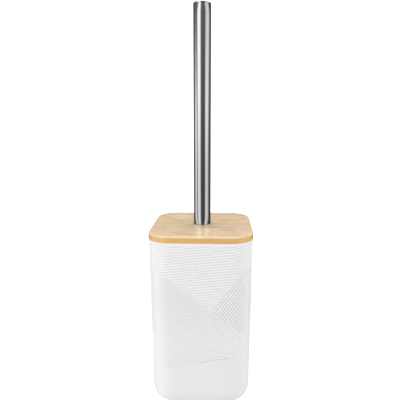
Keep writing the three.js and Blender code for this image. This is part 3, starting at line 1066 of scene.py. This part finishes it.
# soft boxes and dark flags round the set, by direction in degrees from the front
LOW = [(-180, 0.05), (-116, 0.12), (-98, 1.10), (-90, 1.60), (-80, 1.50), (-73, 0.33), (-65, 0.28), (-55, 1.45), (-30, 1.50), (-12, 0.12), (36, 0.09), (45, 1.20), (82, 1.20), (96, 0.20), (116, 0.13), (180, 0.05)]
HIGH = [(-180, 0.05), (-116, 0.14), (-98, 0.17), (-90, 0.20), (-80, 0.20), (-73, 0.24), (-65, 0.36), (-55, 1.45), (-30, 1.58), (-12, 0.18), (36, 0.10), (45, 0.62), (82, 1.10), (96, 0.72), (116, 0.09), (180, 0.05)]


def panels(r, stops):
    el = r.color_ramp.elements
    while len(el) < len(stops):
        el.new(0.5)
    for e, (deg, val) in zip(el, stops):
        e.position = (deg + 180) / 360
        e.color = (val / 1.6, val / 1.6, val / 1.6, 1)


ramp_hi = wnode("ShaderNodeValToRGB")
wt.links.new(pos.outputs[0], ramp_hi.inputs[0])
panels(ramp, LOW)
panels(ramp_hi, HIGH)
rise = wnode("ShaderNodeMapRange")
rise.inputs["From Min"].default_value = -0.02
rise.inputs["From Max"].default_value = 0.23
wt.links.new(sep.outputs[2], rise.inputs["Value"])
both = wnode("ShaderNodeMix", data_type="RGBA")
wt.links.new(rise.outputs[0], both.inputs[0])
wt.links.new(ramp.outputs[0], both.inputs[6])
wt.links.new(ramp_hi.outputs[0], both.inputs[7])
# the panels are dimmer towards the table
dim = wnode("ShaderNodeMapRange")
dim.inputs["From Min"].default_value = -0.13
dim.inputs["From Max"].default_value = 0.04
dim.inputs["To Min"].default_value = 0.71 * 1.6
dim.inputs["To Max"].default_value = 1.6
wt.links.new(sep.outputs[2], dim.inputs["Value"])
bg_gloss = wnode("ShaderNodeBackground")
wt.links.new(dim.outputs[0], bg_gloss.inputs["Strength"])
wt.links.new(both.outputs[2], bg_gloss.inputs["Color"])
bg_soft = wnode("ShaderNodeBackground")
lean = wnode("ShaderNodeVectorMath", operation="DOT_PRODUCT")
wt.links.new(gen, lean.inputs[0])
lean.inputs[1].default_value = (-0.75, -0.30, 0.35)
tone = wnode("ShaderNodeMapRange")
tone.inputs["From Min"].default_value = -1.0
tone.inputs["To Min"].default_value = SKY_LO
tone.inputs["To Max"].default_value = SKY_HI
wt.links.new(lean.outputs["Value"], tone.inputs["Value"])
below = wnode("ShaderNodeMapRange")
below.inputs["From Min"].default_value = -0.35
below.inputs["From Max"].default_value = -1.0
below.inputs["To Max"].default_value = 0.52
wt.links.new(sep.outputs[2], below.inputs["Value"])
total = wnode("ShaderNodeMath", operation="ADD")
wt.links.new(tone.outputs[0], total.inputs[0])
wt.links.new(below.outputs[0], total.inputs[1])
wt.links.new(total.outputs[0], bg_soft.inputs["Strength"])
bg_soft.inputs["Color"].default_value = (0.985, 0.99, 1.0, 1)
bg_cam = wnode("ShaderNodeBackground")
bg_cam.inputs["Color"].default_value = (1, 1, 1, 1)
bg_cam.inputs["Strength"].default_value = 1.05
path = wnode("ShaderNodeLightPath")
m1 = wnode("ShaderNodeMixShader")
wt.links.new(path.outputs["Is Glossy Ray"], m1.inputs[0])
wt.links.new(bg_soft.outputs[0], m1.inputs[1])
wt.links.new(bg_gloss.outputs[0], m1.inputs[2])
m2 = wnode("ShaderNodeMixShader")
wt.links.new(path.outputs["Is Camera Ray"], m2.inputs[0])
wt.links.new(m1.outputs[0], m2.inputs[1])
wt.links.new(bg_cam.outputs[0], m2.inputs[2])
wt.links.new(m2.outputs[0], out.inputs[0])


def area(name, loc, aim, size, power, gloss=False, color=(1, 1, 1)):
    d = bpy.data.lights.new(name, "AREA")
    d.shape = "RECTANGLE"
    d.size, d.size_y = size
    d.energy = power
    d.color = color
    o = bpy.data.objects.new(name, d)
    bpy.context.scene.collection.objects.link(o)
    o.location = loc
    o.rotation_euler = (Vector(aim) - Vector(loc)).to_track_quat("-Z", "Y").to_euler()
    o.visible_glossy = gloss
    o.visible_camera = False
    return o


area("key_left", (-1.34, -0.80, 0.42), (0, 0, 0.12), (0.7, 0.7), 6.7)
area("fill_front", (0.25, -1.25, 1.10), (0, 0, 0.12), (0.7, 0.5), 3.2)
area("rim_right", (1.44, 0.00, 0.50), (0, 0, 0.12), (0.7, 0.7), 5.0)
area("top_back", (0.0, 0.55, 1.55), (0, 0, 0.17), (1.5, 0.8), 12.0)

# ------------------------------------------------------------------ camera, at the photograph's viewing angle
F_PX, PX, PY = 400.90, 215.70, 193.65
D_, Z_, PITCH, PAN, ROLL, YAW = 398.615, 279.898, 0.181148, 0.033976, 0.005541, 0.043507
fwd = Vector((math.sin(PAN) * math.cos(PITCH), math.cos(PAN) * math.cos(PITCH), -math.sin(PITCH)))
right = Vector((math.cos(PAN), -math.sin(PAN), 0))
up = right.cross(fwd)
right2 = right * math.cos(ROLL) + up * math.sin(ROLL)
up2 = up * math.cos(ROLL) - right * math.sin(ROLL)
turn = Matrix.Rotation(YAW, 3, "Z")
R, U, B = turn @ right2, turn @ up2, -(turn @ fwd)
at = turn @ Vector((0, -D_, Z_)) * MM
cam = bpy.data.objects.new("photo_camera", bpy.data.cameras.new("photo_camera"))
bpy.context.scene.collection.objects.link(cam)
cam.matrix_world = Matrix(((R.x, U.x, B.x, at.x), (R.y, U.y, B.y, at.y), (R.z, U.z, B.z, at.z), (0, 0, 0, 1)))
cam.data.sensor_width = 36.0
cam.data.lens = F_PX / 400 * 36.0
cam.data.shift_x = -(PX - 200) / 400
cam.data.shift_y = (PY - 200) / 400
cam.data.clip_start = 0.01
cam.data.dof.use_dof = False
bpy.context.scene.camera = cam
bpy.context.scene.view_settings.view_transform = "Standard"
bpy.context.scene.view_settings.look = "None"

# the handle mirrors only the studio, as in the photograph
for ob in bpy.context.scene.objects:
    if ob.type == "MESH" and not ob.name.startswith(("steel_handle", "handle_end_disc")):
        ob.visible_glossy = False
